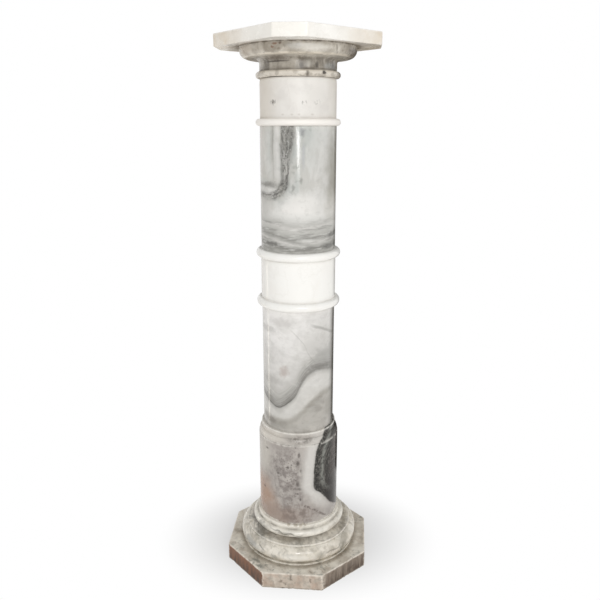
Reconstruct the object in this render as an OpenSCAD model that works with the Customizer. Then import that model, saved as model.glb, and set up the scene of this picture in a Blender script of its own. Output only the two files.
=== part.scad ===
// Marble pedestal column of a plain Doric (Tuscan) kind, built of nine turned and
// sawn stones that stand on one another, face to face, on one upright axis.
// Millimetres. Origin at the middle of the underside, +Z up.

/* [Shaft] */
// Diameter of both shaft stones
shaft_d = 142; // [100:1:200]
// Height of the lower shaft stone
lower_shaft_h = 249; // [120:1:400]
// Height of the upper shaft stone
upper_shaft_h = 227; // [120:1:400]

/* [Plinth] */
// How far the flats of the octagonal plinth stand out past the lower torus
plinth_out = 21.5; // [5:0.5:60]
// Height of the plinth
plinth_h = 35; // [20:1:80]

/* [Base moulding] */
// How far the lower torus stands out past the lower drum
lower_torus_out = 41; // [32:0.5:60]
// Height of the lower torus
lower_torus_h = 34; // [24:0.5:50]
// How far the thin fillet under the lower torus stands back from its belly
foot_fillet_in = 4.5; // [2:0.5:16]
// Height of that fillet
foot_fillet_h = 3; // [1.5:0.5:6]
// Height of the fillet between the lower torus and the hollow
hollow_fillet_h = 4; // [2:0.5:8]
// How far it stands out past the spring of the lower torus
hollow_fillet_out = 4; // [1:0.5:6]
// Height of the hollow (scotia) under the upper torus
hollow_h = 6; // [3:0.5:12]
// How far the upper torus stands out past the lower drum
upper_torus_out = 14.5; // [12:0.5:20]
// Height of the upper torus
upper_torus_h = 15; // [10:0.5:24]
// Height of the fillet that carries the drum
top_fillet_h = 9; // [3:0.5:14]
// How far that fillet stands out past the drum
top_fillet_out = 5; // [2:0.5:6]

/* [Lower drum] */
// How far the lower drum stands out past the shaft
drum_out = 10.5; // [6:0.5:14]
// Height of the straight part of the lower drum
drum_body_h = 176; // [80:1:300]
// Height of its rounded shoulder
shoulder_h = 13; // [6:0.5:30]
// Height of the upright ring on top of the shoulder
ring_h = 11; // [3:0.5:16]
// How far the ring stands out past the shaft
ring_out = 4.5; // [1:0.5:5]

/* [Middle band] */
// Height of the middle band between its two bed faces
middle_band_h = 111; // [60:1:180]
// How far its drum stands out past the shaft
middle_band_out = 1; // [0:0.5:4]
// Height of each of its two round mouldings
band_torus_h = 15.5; // [6:0.5:20]
// How far the round mouldings stand out past the shaft
band_torus_out = 10; // [7:0.5:16]

/* [Neck band] */
// Height of the neck band between its two bed faces
neck_band_h = 82; // [50:1:140]
// How far its drum stands back from the shaft
neck_band_in = 0.8; // [0:0.1:3]
// Height of the round moulding at its foot
neck_torus_h = 12.5; // [6:0.5:18]
// How far that moulding stands out past the shaft
neck_torus_out = 7.5; // [6:0.5:14]
// Height of the eased edge at its top
neck_ease_h = 8; // [2:0.5:12]
// Depth of the eased edge at its top
neck_ease_in = 3; // [1:0.5:6]

/* [Capital] */
// Height of the round astragal at the foot of the capital
astragal_h = 11.5; // [6:0.5:16]
// How far the astragal stands out past the capital's neck
astragal_out = 7; // [5:0.5:12]
// Height of the plain neck above the astragal
capital_neck_h = 14; // [6:0.5:30]
// Height of the hollow under the echinus
cavetto_h = 8; // [4:0.5:14]
// How far that hollow spreads out past the neck
cavetto_out = 17; // [10:0.5:20]
// Size of the step between the hollow and the echinus
echinus_step = 4.5; // [1:0.5:8]
// Radius of the quarter round of the echinus
echinus_r = 14; // [8:0.5:18]
// Height of the upright band at the top of the echinus
echinus_band_h = 5.5; // [2:0.5:12]

/* [Abacus] */
// How far the sides of the abacus stand out past the echinus
abacus_out = 19.3; // [5:0.1:60]
// Length cut off each side of the abacus at each corner
abacus_cut = 40; // [10:1:70]
// Thickness of the abacus
abacus_h = 22; // [12:1:50]

/* [Hidden] */
$fn = 128;
// Number of chords in each curved stretch that isn't part of a circle
CURVE_STEPS = 12;

shaft_r = shaft_d / 2;
drum_r = shaft_r + drum_out;
top_fillet_r = drum_r + top_fillet_out;
ring_r = shaft_r + ring_out;
middle_band_r = shaft_r + middle_band_out;
neck_band_r = shaft_r - neck_band_in;
capital_neck_r = neck_band_r;
cavetto_r = capital_neck_r + cavetto_out;
echinus_foot_r = cavetto_r + echinus_step;
echinus_top_r = echinus_foot_r + echinus_r;
abacus_half_w = echinus_top_r + abacus_out;
lower_torus_r = drum_r + lower_torus_out;
upper_torus_r = drum_r + upper_torus_out;
foot_fillet_r = lower_torus_r - foot_fillet_in;
plinth_half_w = lower_torus_r + plinth_out;

// Radius at which a round moulding of a given height springs from the stone
lower_torus_spring_r = lower_torus_r - lower_torus_h / 2;
upper_torus_spring_r = upper_torus_r - upper_torus_h / 2;
hollow_fillet_r = lower_torus_spring_r + hollow_fillet_out;

// Heights of the stones, and the bed that each of them stands on
base_moulding_h = foot_fillet_h + lower_torus_h + hollow_fillet_h + hollow_h
    + upper_torus_h + top_fillet_h;
lower_drum_h = drum_body_h + shoulder_h + ring_h;
capital_h = astragal_h + capital_neck_h + cavetto_h + echinus_r + echinus_band_h;
base_moulding_z = plinth_h;
lower_drum_z = base_moulding_z + base_moulding_h;
lower_shaft_z = lower_drum_z + lower_drum_h;
middle_band_z = lower_shaft_z + lower_shaft_h;
upper_shaft_z = middle_band_z + middle_band_h;
neck_band_z = upper_shaft_z + upper_shaft_h;
capital_z = neck_band_z + neck_band_h;
abacus_z = capital_z + capital_h;

// A quarter curve from one profile point to another. It leaves the first point
// upright and reaches the second one level, or the other way round.
function quarter(from, to, upright_first) = [
    for (step = [0 : CURVE_STEPS])
        let (angle = 90 * step / CURVE_STEPS)
        upright_first
            ? [to[0] + (from[0] - to[0]) * cos(angle), from[1] + (to[1] - from[1]) * sin(angle)]
            : [from[0] + (to[0] - from[0]) * sin(angle), to[1] + (from[1] - to[1]) * cos(angle)]
];

// Half section of a plain turned length: a rectangle against the axis
module band(radius, z, height) {
    translate([0, z])
        square([radius, height]);
}

// Half section of a round moulding with its belly at the given radius
module round_moulding(radius, z, height) {
    translate([radius - height / 2, z + height / 2])
        circle(d = height);
    band(radius - height / 2, z, height);
}

// Half section under a curve: the curve, closed against the axis
module under_curve(points) {
    polygon(concat([[0, points[0][1]]], points, [[0, points[CURVE_STEPS][1]]]));
}

// A stone turned on the column's axis from the half section that it is given
module turned(z) {
    translate([0, 0, z])
        rotate_extrude()
            children();
}

module plinth() {
    color("#BDB3A6")
        rotate(180 / 8)
            cylinder(r = plinth_half_w / cos(180 / 8), h = plinth_h, $fn = 8);
}

module base_moulding() {
    torus_z = foot_fillet_h;
    fillet_z = torus_z + lower_torus_h;
    hollow_z = fillet_z + hollow_fillet_h;
    upper_z = hollow_z + hollow_h;
    top_z = upper_z + upper_torus_h;
    color("#DAD3C6")
        turned(base_moulding_z) {
            band(foot_fillet_r, 0, foot_fillet_h);
            round_moulding(lower_torus_r, torus_z, lower_torus_h);
            band(hollow_fillet_r, fillet_z, hollow_fillet_h);
            under_curve(quarter([hollow_fillet_r, hollow_z], [upper_torus_spring_r, upper_z], false));
            round_moulding(upper_torus_r, upper_z, upper_torus_h);
            band(top_fillet_r, top_z, top_fillet_h);
        }
}

module lower_drum() {
    shoulder_z = drum_body_h;
    ring_z = shoulder_z + shoulder_h;
    color("#B0A8A2")
        turned(lower_drum_z) {
            band(drum_r, 0, drum_body_h);
            under_curve(quarter([drum_r, shoulder_z], [ring_r, ring_z], true));
            band(ring_r, ring_z, ring_h);
        }
}

module lower_shaft() {
    color("#D3D1CB")
        turned(lower_shaft_z)
            band(shaft_r, 0, lower_shaft_h);
}

module middle_band() {
    torus_r = shaft_r + band_torus_out;
    color("#F6F4EF")
        turned(middle_band_z) {
            band(middle_band_r, 0, middle_band_h);
            round_moulding(torus_r, 0, band_torus_h);
            round_moulding(torus_r, middle_band_h - band_torus_h, band_torus_h);
        }
}

module upper_shaft() {
    color("#CFCDC8")
        turned(upper_shaft_z)
            band(shaft_r, 0, upper_shaft_h);
}

module neck_band() {
    ease_z = neck_band_h - neck_ease_h;
    color("#EEE9E4")
        turned(neck_band_z) {
            round_moulding(shaft_r + neck_torus_out, 0, neck_torus_h);
            band(neck_band_r, 0, ease_z);
            under_curve(
                quarter([neck_band_r, ease_z], [neck_band_r - neck_ease_in, neck_band_h], true));
        }
}

module capital() {
    neck_z = astragal_h;
    cavetto_z = neck_z + capital_neck_h;
    echinus_z = cavetto_z + cavetto_h;
    echinus_band_z = echinus_z + echinus_r;
    color("#B9B1A6")
        turned(capital_z) {
            round_moulding(capital_neck_r + astragal_out, 0, astragal_h);
            band(capital_neck_r, neck_z, capital_neck_h);
            under_curve(quarter([capital_neck_r, cavetto_z], [cavetto_r, echinus_z], true));
            under_curve(
                quarter([echinus_foot_r, echinus_z], [echinus_top_r, echinus_band_z], false));
            band(echinus_top_r, echinus_band_z, echinus_band_h);
        }
}

module abacus() {
    half = abacus_half_w;
    corner = half - abacus_cut;
    color("#F4F3EE")
        translate([0, 0, abacus_z])
            linear_extrude(abacus_h)
                polygon([
                    for (quarter_turn = [0 : 3], end = [-1, 1])
                        let (c = cos(90 * quarter_turn), s = sin(90 * quarter_turn))
                        [half * c - end * corner * s, half * s + end * corner * c]
                ]);
}

plinth();
base_moulding();
lower_drum();
lower_shaft();
middle_band();
upper_shaft();
neck_band();
capital();
abacus();
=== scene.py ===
import math

import bpy
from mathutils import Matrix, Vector, noise


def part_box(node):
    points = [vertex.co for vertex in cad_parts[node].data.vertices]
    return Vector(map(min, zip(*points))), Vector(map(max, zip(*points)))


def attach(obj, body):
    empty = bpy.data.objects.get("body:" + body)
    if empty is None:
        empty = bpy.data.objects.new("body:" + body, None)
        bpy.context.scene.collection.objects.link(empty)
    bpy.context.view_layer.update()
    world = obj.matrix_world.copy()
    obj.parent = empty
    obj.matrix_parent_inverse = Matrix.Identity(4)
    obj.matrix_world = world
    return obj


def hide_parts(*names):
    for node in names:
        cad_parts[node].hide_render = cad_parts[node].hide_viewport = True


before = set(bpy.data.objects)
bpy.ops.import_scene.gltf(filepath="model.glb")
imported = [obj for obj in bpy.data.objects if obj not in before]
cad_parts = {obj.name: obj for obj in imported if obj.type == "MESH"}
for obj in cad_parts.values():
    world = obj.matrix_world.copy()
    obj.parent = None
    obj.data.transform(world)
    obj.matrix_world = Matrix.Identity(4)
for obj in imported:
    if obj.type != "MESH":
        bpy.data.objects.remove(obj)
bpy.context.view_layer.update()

MM = 0.001

# Sizes of the mouldings, in millimetres. "out" is how far one stands out past the plain face
# beside it, and "back" how far it lies back from the stone's widest moulding. The stones' own
# heights and greatest radii come from the frame.
FOOT_FILLET = {"height": 3, "back": 4.5}
LOWER_TORUS = {"height": 34}
HOLLOW_FILLET = {"height": 4, "out": 4}
HOLLOW = {"height": 6}
UPPER_TORUS = {"height": 15, "back": 26.5}
TOP_FILLET = {"out": 5}
SHOULDER = {"height": 13, "bevel": 0.8}
RING = {"height": 11, "out": 4.5}
BAND_TORUS = {"height": 15.5, "out": 9}
NECK_TORUS = {"height": 12.5, "out": 8.3}
NECK_EASE = {"height": 8, "in": 3}
ASTRAGAL = {"height": 11.5, "out": 7}
CAPITAL_NECK = {"height": 14, "back": 35.5}
CAVETTO = {"height": 8, "out": 17}
ECHINUS = {"radius": 14, "band": 5.5}
ABACUS_CUT = 40

# The side of the column that the camera looks at, measured round the axis
FRONT_AZIMUTH = math.radians(50.2)
RIGHT = Vector((math.cos(FRONT_AZIMUTH), math.sin(FRONT_AZIMUTH), 0))
NEAR = Vector((math.sin(FRONT_AZIMUTH), -math.cos(FRONT_AZIMUTH), 0))

# How far wear and a painted highlight reach from an arris, and soiling and painted shade from a
# hollow corner, in millimetres
ARRIS_SPREAD = 2
CREVICE_SPREAD = 3.2
# Width of the finely meshed rim of a flat bed
BED_RIM = 8


def stone_box(node):
    """Bottom, top and greatest radius of a stone, in millimetres."""
    low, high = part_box(node)
    return round(low.z / MM, 2), round(high.z / MM, 2), high.x / MM


# ---------------------------------------------------------------- profiles

def quarter(start, end, upright_first, steps=14):
    """A quarter curve between two profile points, without its first point."""
    points = []
    for step in range(1, steps + 1):
        angle = math.pi / 2 * step / steps
        c, s = math.cos(angle), math.sin(angle)
        if upright_first:
            points.append((end[0] + (start[0] - end[0]) * c, start[1] + (end[1] - start[1]) * s))
        else:
            points.append((start[0] + (end[0] - start[0]) * s, end[1] + (start[1] - end[1]) * c))
    return points


def half_round(belly, z, height, steps=22):
    """A half-round moulding, from its lower spring to its upper one."""
    half = height / 2
    return [
        (belly - half + half * math.cos(angle), z + half + half * math.sin(angle))
        for angle in (math.pi * (step / steps - 0.5) for step in range(steps + 1))
    ]


def slab_profile(node):
    low, high, reach = stone_box(node)
    return [(0, low), (reach, low), (reach, high), (0, high)]


def base_profile():
    low, high, belly = stone_box("base_moulding")
    drum_r = stone_box("lower_drum")[2]
    foot = belly - FOOT_FILLET["back"]
    torus_z = low + FOOT_FILLET["height"]
    torus_top = torus_z + LOWER_TORUS["height"]
    fillet = belly - LOWER_TORUS["height"] / 2 + HOLLOW_FILLET["out"]
    hollow_z = torus_top + HOLLOW_FILLET["height"]
    upper_z = hollow_z + HOLLOW["height"]
    upper_belly = belly - UPPER_TORUS["back"]
    upper_spring = upper_belly - UPPER_TORUS["height"] / 2
    upper_top = upper_z + UPPER_TORUS["height"]
    seat = drum_r + TOP_FILLET["out"]
    return (
        [(0, low), (foot, low), (foot, torus_z)]
        + half_round(belly, torus_z, LOWER_TORUS["height"], 34)
        + [(fillet, torus_top), (fillet, hollow_z)]
        + quarter((fillet, hollow_z), (upper_spring, upper_z), False)
        + half_round(upper_belly, upper_z, UPPER_TORUS["height"])
        + [(seat, upper_top), (seat, high), (0, high)]
    )


def drum_profile():
    low, high, reach = stone_box("lower_drum")
    shaft_r = stone_box("lower_shaft")[2]
    ring_r = shaft_r + RING["out"]
    ring_z = high - RING["height"]
    shoulder_z = ring_z - SHOULDER["height"]
    bevel = SHOULDER["bevel"]
    return (
        [(0, low), (reach, low), (reach, shoulder_z), (reach - bevel, shoulder_z + bevel)]
        + quarter((reach - bevel, shoulder_z + bevel), (ring_r, ring_z), True)
        + [(ring_r, high), (0, high)]
    )


def band_profile():
    low, high, belly = stone_box("middle_band")
    height = BAND_TORUS["height"]
    drum_r = belly - BAND_TORUS["out"]
    return (
        [(0, low)] + half_round(belly, low, height)
        + [(drum_r, low + height), (drum_r, high - height)]
        + half_round(belly, high - height, height) + [(0, high)]
    )


def neck_profile():
    low, high, belly = stone_box("neck_band")
    drum_r = belly - NECK_TORUS["out"]
    ease_z = high - NECK_EASE["height"]
    return (
        [(0, low)] + half_round(belly, low, NECK_TORUS["height"])
        + [(drum_r, low + NECK_TORUS["height"]), (drum_r, ease_z)]
        + quarter((drum_r, ease_z), (drum_r - NECK_EASE["in"], high), True) + [(0, high)]
    )


def capital_profile():
    low, high, reach = stone_box("capital")
    neck_r = reach - CAPITAL_NECK["back"]
    neck_z = low + ASTRAGAL["height"]
    cavetto_z = neck_z + CAPITAL_NECK["height"]
    cavetto_top = (neck_r + CAVETTO["out"], cavetto_z + CAVETTO["height"])
    echinus_foot = (reach - ECHINUS["radius"], cavetto_top[1])
    echinus_top = (reach, high - ECHINUS["band"])
    return (
        [(0, low)] + half_round(neck_r + ASTRAGAL["out"], low, ASTRAGAL["height"])
        + [(neck_r, neck_z), (neck_r, cavetto_z)]
        + quarter((neck_r, cavetto_z), cavetto_top, True)
        + [echinus_foot] + quarter(echinus_foot, echinus_top, False, 20) + [(reach, high), (0, high)]
    )


def soften(profile, radius, spacing):
    """Rounds each sharp corner of a profile and fills its long stretches.

    Returns a list of (r, z, arris, crevice). The last two say how near the point
    is to a corner that stands out, or to one that lies back.
    """
    corners, rounded = [], [Vector(profile[0])]
    for index in range(1, len(profile) - 1):
        before, here, after = (Vector(profile[index + step]) for step in (-1, 0, 1))
        back, ahead = before - here, after - here
        if min(back.length, ahead.length) < 1e-6:
            # the same point twice is no corner
            continue
        turn = math.degrees(back.angle(-ahead))
        if turn < 16:
            rounded.append(here)
            continue
        corners.append((here, back.cross(ahead) < 0, min(turn / 60, 1)))
        reach = min(radius, back.length * 0.45, ahead.length * 0.45)
        guard = min(reach, 0.5)
        start, end = here + back.normalized() * reach, here + ahead.normalized() * reach
        rounded.append(start + back.normalized() * guard)
        for step in range(5):
            share = step / 4
            rounded.append(start.lerp(here, share).lerp(here.lerp(end, share), share))
        rounded.append(end + ahead.normalized() * guard)
    rounded.append(Vector(profile[-1]))

    filled = [rounded[0]]
    for end in rounded[1:]:
        start = filled[-1]
        longer = (end - start).length
        if longer > BED_RIM and min(start.x, end.x) < 1e-6:
            # a flat bed needs rings only near its rim
            steps = [BED_RIM * step / 4 / longer for step in range(1, 5)]
            shares = [1 - share for share in reversed(steps)] + [1] if start.x < end.x else steps + [1]
        else:
            pieces = max(1, math.ceil(longer / spacing))
            shares = [(step + 1) / pieces for step in range(pieces)]
        filled.extend(start.lerp(end, share) for share in shares)

    result = []
    for point in filled:
        arris = crevice = 0.0
        for corner, stands_out, strength in corners:
            gap = (point - corner).length
            if stands_out:
                arris = max(arris, strength * math.exp(-(gap / ARRIS_SPREAD) ** 2))
            else:
                crevice = max(crevice, strength * math.exp(-(gap / CREVICE_SPREAD) ** 2))
        result.append((point.x, point.y, arris, crevice))
    return result


# ---------------------------------------------------------------- outlines

def circle_outline(segments=420):
    """A round outline, as points on a unit circle. The 0 says that it has no corners."""
    return [
        (Vector((math.cos(angle), math.sin(angle))), 0)
        for angle in (2 * math.pi * step / segments for step in range(segments))
    ]


def sawn_outline(corners, reach, radius, spacing):
    """A polygon with slightly rounded corners, filled with points along its sides.

    The corners are in units of reach, and radius and spacing are in millimetres. Each
    point comes with how near it is to a corner, from 0 to 1.
    """
    points = []
    count = len(corners)
    for index, here in enumerate(corners):
        before, after = corners[index - 1], corners[(index + 1) % count]
        start = here + (before - here).normalized() * radius / reach
        end = here + (after - here).normalized() * radius / reach
        for step in range(5):
            share = step / 4
            points.append(start.lerp(here, share).lerp(here.lerp(end, share), share))
        next_start = after + (here - after).normalized() * radius / reach
        pieces = max(2, math.ceil((next_start - end).length * reach / spacing))
        points.extend(end.lerp(next_start, step / pieces) for step in range(1, pieces))
    outline = []
    for point in points:
        gap = min((point - corner).length for corner in corners) * reach
        outline.append((point, math.exp(-(gap / ARRIS_SPREAD) ** 2)))
    return outline


def octagon_outline(reach):
    """A regular octagon with flats one unit from its middle."""
    corner_r = 1 / math.cos(math.pi / 8)
    corners = [
        Vector((math.cos(angle), math.sin(angle))) * corner_r
        for angle in (math.pi / 8 + math.pi / 4 * step for step in range(8))
    ]
    return sawn_outline(corners, reach, 2, 2)


def clipped_square_outline(reach):
    """A square with flats one unit from its middle and its corners cut off."""
    cut = 1 - ABACUS_CUT / reach
    corners = [
        Vector((c - end * cut * s, s + end * cut * c))
        for c, s in ((1, 0), (0, 1), (-1, 0), (0, -1)) for end in (-1, 1)
    ]
    return sawn_outline(corners, reach, 1.6, 2)


# ---------------------------------------------------------------- stones

def carve(name, profile, outline, wear, chips=(), ripple=0.0):
    """Makes one stone's mesh from its softened profile and its outline.

    wear is how deep the wear on the arrises goes, in millimetres. chips are dents given as
    (degrees right of the front, height, width, depth), in degrees and millimetres.
    """
    dents = []
    for degrees, height, width, depth in chips:
        angle = math.radians(degrees)
        dents.append((RIGHT * math.sin(angle) + NEAR * math.cos(angle), height, width, depth))
    rings, vertices, marks = [], [], []
    for index, (r, z, edge, corner) in enumerate(profile):
        if r < 1e-6:
            rings.append([len(vertices)])
            vertices.append((0, 0, z * MM))
            marks.append((0, 0, 0))
            continue
        before, after = profile[max(index - 1, 0)], profile[min(index + 1, len(profile) - 1)]
        along = Vector((after[0] - before[0], after[1] - before[1])).normalized()
        out_r, out_z = along.y, -along.x
        ring = []
        for point, corner_edge in outline:
            ring.append(len(vertices))
            sharp = max(edge, corner_edge * max(out_r, 0))
            flat = Vector((point.x * r, point.y * r, z))
            radial = Vector((point.x, point.y, 0)).normalized()
            inward = 0.0
            if sharp > 0.05:
                # wear comes in stretches of about 22 mm and nicks of about 5 mm
                coarse = noise.fractal(flat * 0.045, 0.6, 2.2, 4)
                fine = noise.fractal(flat * 0.22, 0.7, 2.1, 3)
                inward += wear * sharp * (max(0, coarse - 0.15) * 2.2 + max(0, fine) * 0.8)
            damage = 0.0
            for direction, height, width, depth in dents:
                centre = direction * flat.xy.length + Vector((0, 0, height))
                ragged = 1 + 0.35 * noise.noise(flat * 0.35)
                gap = (flat - centre).length / (width * ragged)
                if gap < 1 and flat.xy.length > 1:
                    inward += depth * (1 - gap ** 2)
                    damage = max(damage, 1 - gap ** 3)
            if ripple:
                inward += ripple * noise.fractal(flat * 0.02, 0.8, 2.0, 3)
            inward = max(inward, 0)
            moved = flat - radial * (out_r * inward) - Vector((0, 0, out_z * inward))
            vertices.append(moved * MM)
            marks.append((sharp, corner, damage))
        rings.append(ring)

    faces = []
    count = len(outline)
    for lower, upper in zip(rings, rings[1:]):
        for step in range(count):
            ahead = (step + 1) % count
            if len(lower) == 1:
                faces.append((lower[0], upper[ahead], upper[step]))
            elif len(upper) == 1:
                faces.append((lower[step], lower[ahead], upper[0]))
            else:
                faces.append((lower[step], lower[ahead], upper[ahead], upper[step]))
    mesh = bpy.data.meshes.new(name)
    mesh.from_pydata(vertices, [], faces)
    mesh.shade_smooth()
    for label, values in zip(("arris", "crevice", "scar"), zip(*marks)):
        mesh.attributes.new(label, "FLOAT", "POINT").data.foreach_set("value", values)
    mesh.update()
    piece = bpy.data.objects.new(name, mesh)
    bpy.context.scene.collection.objects.link(piece)
    return piece


def place(piece, node, material):
    piece.data.materials.append(material)
    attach(piece, "root")
    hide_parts(node)


# ---------------------------------------------------------------- materials

def shade(hex_colour):
    """An sRGB hex colour as linear red, green, blue and alpha."""
    channels = [int(hex_colour[start:start + 2], 16) / 255 for start in (1, 3, 5)]
    return (*(c / 12.92 if c <= 0.04045 else ((c + 0.055) / 1.055) ** 2.4 for c in channels), 1)


def add(tree, kind, *values, out=0, sockets=None, stops=None, **settings):
    """Adds a node, sets its properties, fills its inputs and returns one output."""
    made = tree.nodes.new(kind)
    for name, value in settings.items():
        setattr(made, name, value)
    for key, value in [*enumerate(values), *(sockets or {}).items()]:
        if value is None:
            continue
        if isinstance(value, bpy.types.NodeSocket):
            tree.links.new(value, made.inputs[key])
        else:
            made.inputs[key].default_value = value
    if stops:
        ramp = made.color_ramp
        while len(ramp.elements) < len(stops):
            ramp.elements.new(0.5)
        for element, (place_on_ramp, colour) in zip(ramp.elements, stops):
            element.position = place_on_ramp
            element.color = shade(colour)
    return made.outputs[out] if made.outputs else None


MATH = "ShaderNodeMath"
VECTOR = "ShaderNodeVectorMath"
JOIN = "ShaderNodeCombineXYZ"
NOISE = "ShaderNodeTexNoise"
RAMP = "ShaderNodeValToRGB"
RANGE = "ShaderNodeMapRange"
MIX = "ShaderNodeMix"
SMOOTH = {"interpolation_type": "SMOOTHSTEP"}
TIMES = {"operation": "MULTIPLY"}


class Stone:
    """One marble, and the places that its pattern starts from, in millimetres.

    right, near and height run from the column's foot, to the right, towards the camera's side
    and up. away is how far off the axis a place is, and behind how far it is behind the axis.
    front is a share: 1 on the camera's side of the stone, and 0 behind it.
    """

    def __init__(self, name):
        self.material = bpy.data.materials.new(name)
        self.material.use_nodes = True
        self.tree = tree = self.material.node_tree
        tree.nodes.clear()
        raw = add(tree, "ShaderNodeTexCoord", out=3)
        self.point = add(tree, VECTOR, raw, operation="SCALE", sockets={"Scale": 1 / MM})
        self.right = add(tree, VECTOR, self.point, RIGHT, operation="DOT_PRODUCT", out=1)
        self.near = add(tree, VECTOR, self.point, NEAR, operation="DOT_PRODUCT", out=1)
        self.height = add(tree, VECTOR, self.point, (0, 0, 1), operation="DOT_PRODUCT", out=1)
        level_point = add(tree, JOIN, self.right, self.near, 0.0)
        self.away = add(tree, VECTOR, level_point, operation="LENGTH", out=1)
        self.behind = add(tree, RANGE, self.near, 0, -200, 0, 200)
        # the front fades out between 4 and 28 mm behind the axis
        self.front = add(tree, RANGE, self.near, -28, -4, **SMOOTH)


def cloudy(stone, size, low, high, detail=4, roughness=0.55, stretch=(1, 1, 1), warp=0.0):
    """A share from 0 to 1 that comes and goes in clouds about size millimetres across."""
    tree = stone.tree
    start = add(tree, VECTOR, stone.point, stretch, **TIMES)
    field = add(tree, NOISE, start, None, 1 / size, detail, roughness, sockets={"Distortion": warp})
    return add(tree, RANGE, field, low, high, **SMOOTH)


def veined(stone, size, width, warp=1.2):
    """Thin branching veins that cut the stone into pieces about size millimetres across."""
    sockets = {"Distortion": warp}
    field = add(stone.tree, NOISE, stone.point, None, 1 / size, 5, 0.55, sockets=sockets)
    return close_to(stone, field, 0.5, 0, width)


def wavy(stone, value, size, reach, detail=3, stretch=(1, 1, 1)):
    """value pushed up and down by as much as reach millimetres."""
    tree = stone.tree
    start = add(tree, VECTOR, stone.point, stretch, **TIMES)
    field = add(tree, NOISE, start, None, 1 / size, detail, 0.5)
    centred = add(tree, MATH, field, 0.5, operation="SUBTRACT")
    return add(tree, MATH, centred, 2 * reach, value, operation="MULTIPLY_ADD")


def close_to(stone, value, level, full, none):
    """A share that is 1 where value is within full of a level, and 0 where it is none or more off."""
    tree = stone.tree
    gap = add(tree, MATH, value, level, operation="SUBTRACT")
    gap = add(tree, MATH, gap, operation="ABSOLUTE")
    return add(tree, RANGE, gap, none, full, **SMOOTH)


def streaky(stone, across, along, fine, long, low, high):
    """Streaks that run with a vein, fine millimetres apart across it and long ones along it."""
    tree = stone.tree
    x = add(tree, MATH, across, 1 / fine, **TIMES)
    y = add(tree, MATH, along, 1 / long, **TIMES)
    field = add(tree, NOISE, add(tree, JOIN, x, y, 0.0), None, 1, 5, 0.6)
    return add(tree, RANGE, field, low, high, **SMOOTH)


def patch(stone, across, height, width, tall, ragged=0.35, grain=9):
    """A soft patch on the front of the stone, all in millimetres.

    Its middle lies across to the right and height above the foot, and it reaches width to each
    side and tall up and down. ragged is how far its rim wanders, as a part of its reach, in
    steps of grain.
    """
    tree = stone.tree
    x = add(tree, RANGE, stone.right, across, across + width, 0, 1, clamp=False)
    z = add(tree, RANGE, stone.height, height, height + tall, 0, 1, clamp=False)
    gap = add(tree, VECTOR, add(tree, JOIN, x, z, 0.0), operation="LENGTH", out=1)
    share = add(tree, RANGE, wavy(stone, gap, grain, ragged), 1, 0.2, **SMOOTH)
    return add(tree, MATH, share, stone.front, **TIMES)


def course(stone, value, points):
    """The height that a given course gives for a place along it.

    points are (place, height) pairs in millimetres, joined by a smooth curve.
    """
    tree = stone.tree
    places, heights = zip(*points)
    low, high = min(heights), max(heights)
    share = add(tree, RANGE, value, places[0], places[-1], 0, 1)
    made = tree.nodes.new("ShaderNodeFloatCurve")
    curve = made.mapping.curves[0]
    for index, (where, height) in enumerate(points):
        x = (where - places[0]) / (places[-1] - places[0])
        y = (height - low) / (high - low)
        if index in (0, len(points) - 1):
            curve.points[0 if index == 0 else -1].location = (x, y)
        else:
            curve.points.new(x, y)
    made.mapping.update()
    tree.links.new(share, made.inputs["Value"])
    return add(tree, RANGE, made.outputs[0], 0, 1, low, high)


def drawn_vein(stone, points, width, start, end):
    """A thin vein along a given course, seen from start to end across the front."""
    tree = stone.tree
    middle = course(stone, stone.right, points)
    line = close_to(stone, wavy(stone, stone.height, 14, 2.2), middle, width * 0.2, width)
    begun = add(tree, RANGE, stone.right, start - 8, start + 8, **SMOOTH)
    ended = add(tree, RANGE, stone.right, end + 6, end - 6, **SMOOTH)
    for limit in (begun, ended, stone.front):
        line = add(tree, MATH, line, limit, **TIMES)
    return line


def lay_over(stone, colour, layers):
    """Lays tints over a colour, one after another.

    Each layer is its share from 0 to 1, how strongly it covers, and its tint. A layer with
    several shares covers only where they all do, and numbers in their place are the measures
    of a patch.
    """
    colour = shade(colour) if isinstance(colour, str) else colour
    for *shares, strength, tint in layers:
        if isinstance(shares[0], (int, float)):
            shares = [patch(stone, *shares)]
        cover = strength
        for share in shares:
            cover = add(stone.tree, MATH, share, cover, **TIMES)
        tint = shade(tint) if isinstance(tint, str) else tint
        colour = add(stone.tree, MIX, cover, data_type="RGBA", out=2, sockets={6: colour, 7: tint})
    return colour


def ramp_stops(low, high, *stops):
    """Places in millimetres turned into places on a colour ramp that runs from low to high."""
    return [((place_mm - low) / (high - low), colour) for place_mm, colour in stops]


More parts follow.
